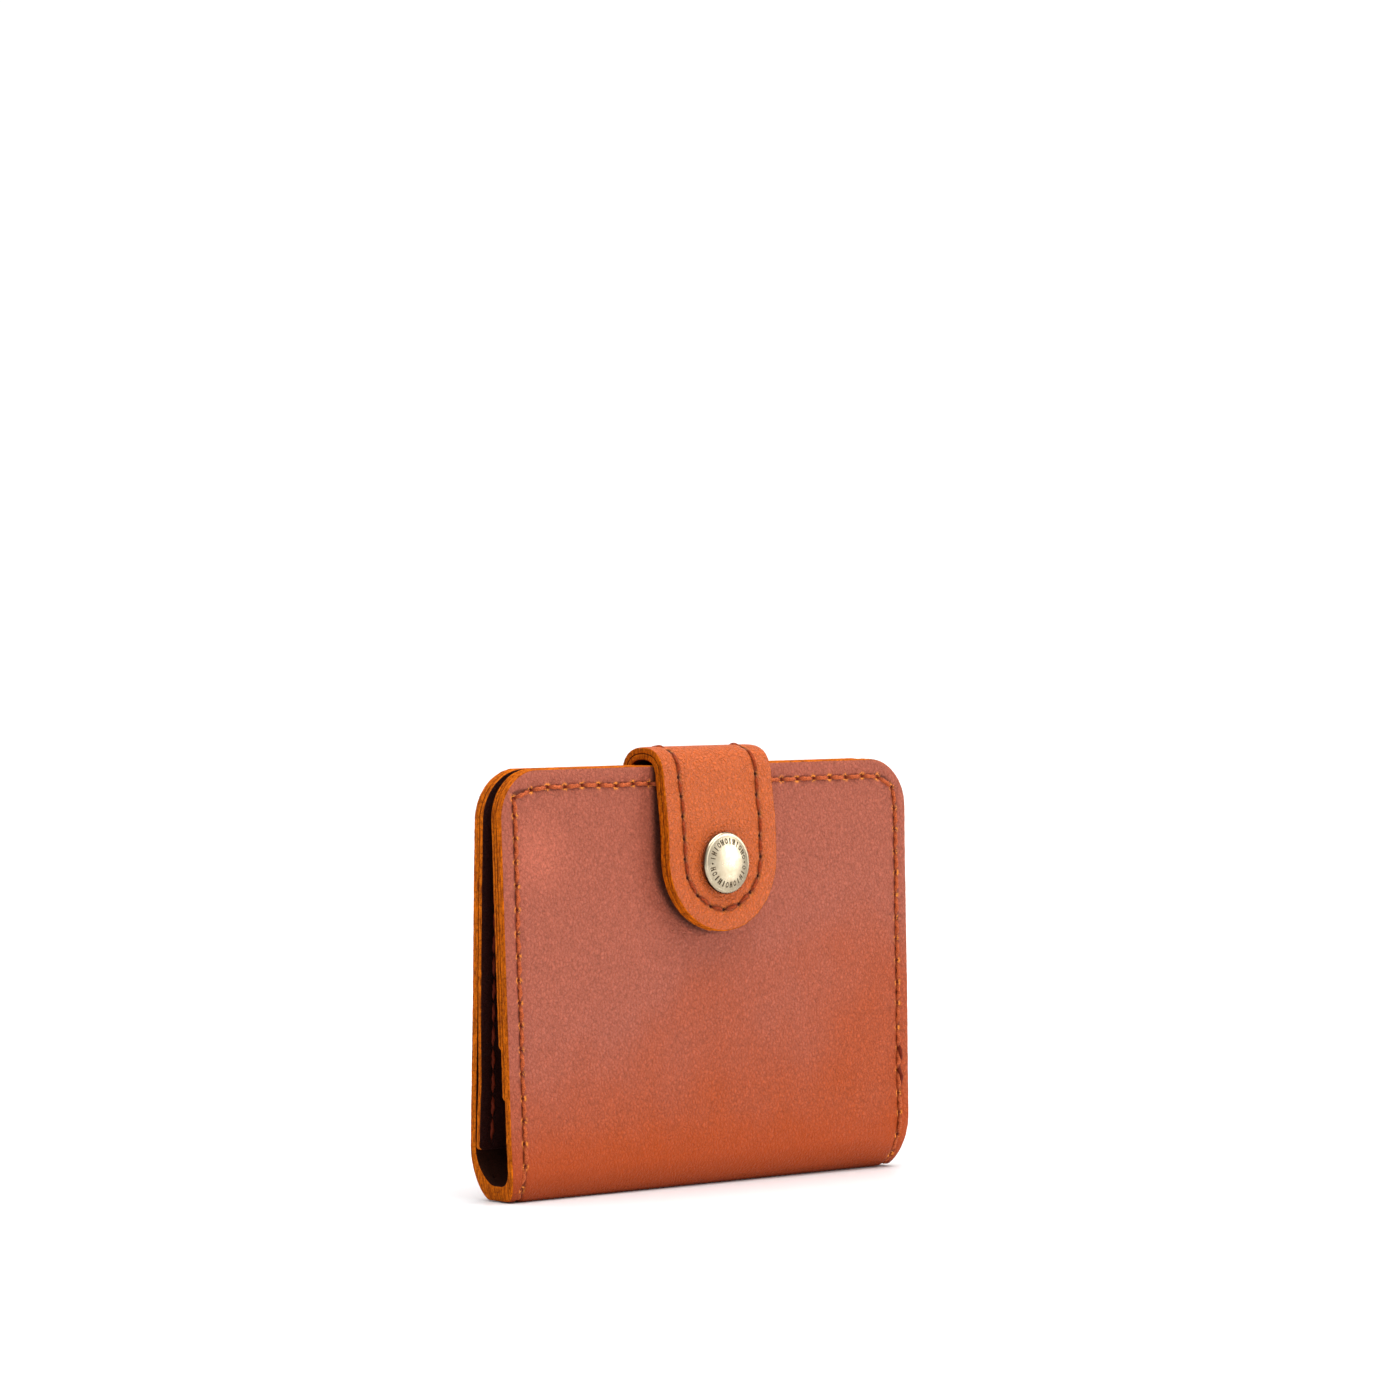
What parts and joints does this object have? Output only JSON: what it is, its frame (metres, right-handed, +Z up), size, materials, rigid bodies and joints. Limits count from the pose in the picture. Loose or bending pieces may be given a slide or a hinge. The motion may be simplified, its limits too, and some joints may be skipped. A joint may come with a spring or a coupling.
{
  "type": "card holder",
  "caption": "Folded leather card holder with inner card pockets, closed by a strap that bends over the top edge onto a ring snap.",
  "frame": {"origin": "middle of the flat foot under the spine, on the surface the card holder stands on", "axes": "+Z up from the folded spine to the open top edges, +X along the spine, -Y out of the front, where the snap is"},
  "size_m": [0.111, 0.0167, 0.0896],
  "materials": {
    "cover_leather": "waxed terracotta leather, fine grain, raw ochre edges",
    "pocket_leather": "thinner leather of the same hide, flesh side rougher",
    "strap_leather": "orange-tan leather, visible pebble grain",
    "lining_leather": "strap lining, matte",
    "thread": "waxed thread",
    "antique_brass": "antique, darkened in the recesses",
    "spring_steel": "bare wire"
  },
  "bodies": {
    "spine": {"cover_spine": "cover_leather", "thread_spine": "thread"},
    "front": {"cover_front": "cover_leather", "pocket_front_back": "pocket_leather", "pocket_front_card": "pocket_leather", "thread_front": "thread", "snap_stud": "antique_brass", "snap_post": "antique_brass"},
    "rear": {"cover_rear": "cover_leather", "pocket_rear": "pocket_leather", "thread_rear": "thread", "strap_outer_base": "strap_leather", "strap_lining_base": "lining_leather", "thread_strap_base": "thread"},
    "strap_bridge": {"strap_outer_bend": "strap_leather", "strap_lining_bend": "lining_leather", "thread_strap_bend": "thread"},
    "strap_flap": {"strap_outer_flap": "strap_leather", "strap_lining_flap": "lining_leather", "thread_strap_flap": "thread", "snap_cap": "antique_brass", "snap_socket": "antique_brass", "snap_spring": "spring_steel"}
  },
  "joints": [
    {"name": "front_fold", "type": "hinge", "parent": "spine", "child": "front", "pos_m": [0, -0.00475, 0.00181], "axis": [1, 0, 0], "range_deg": [0, 88]},
    {"name": "rear_fold", "type": "hinge", "parent": "spine", "child": "rear", "pos_m": [0, 0.00475, 0.00181], "axis": [-1, 0, 0], "range_deg": [0, 88]},
    {"name": "strap_lift", "type": "hinge", "parent": "rear", "child": "strap_bridge", "pos_m": [0, 0.0041, 0.08781], "axis": [-1, 0, 0], "range_deg": [0, 90]},
    {"name": "strap_unroll", "type": "hinge", "parent": "strap_bridge", "child": "strap_flap", "pos_m": [0, -0.0046, 0.08781], "axis": [-1, 0, 0], "range_deg": [0, 90]}
  ],
  "couplings": [
    {"joint": "strap_unroll", "follows": "strap_lift", "ratio": 1}
  ]
}
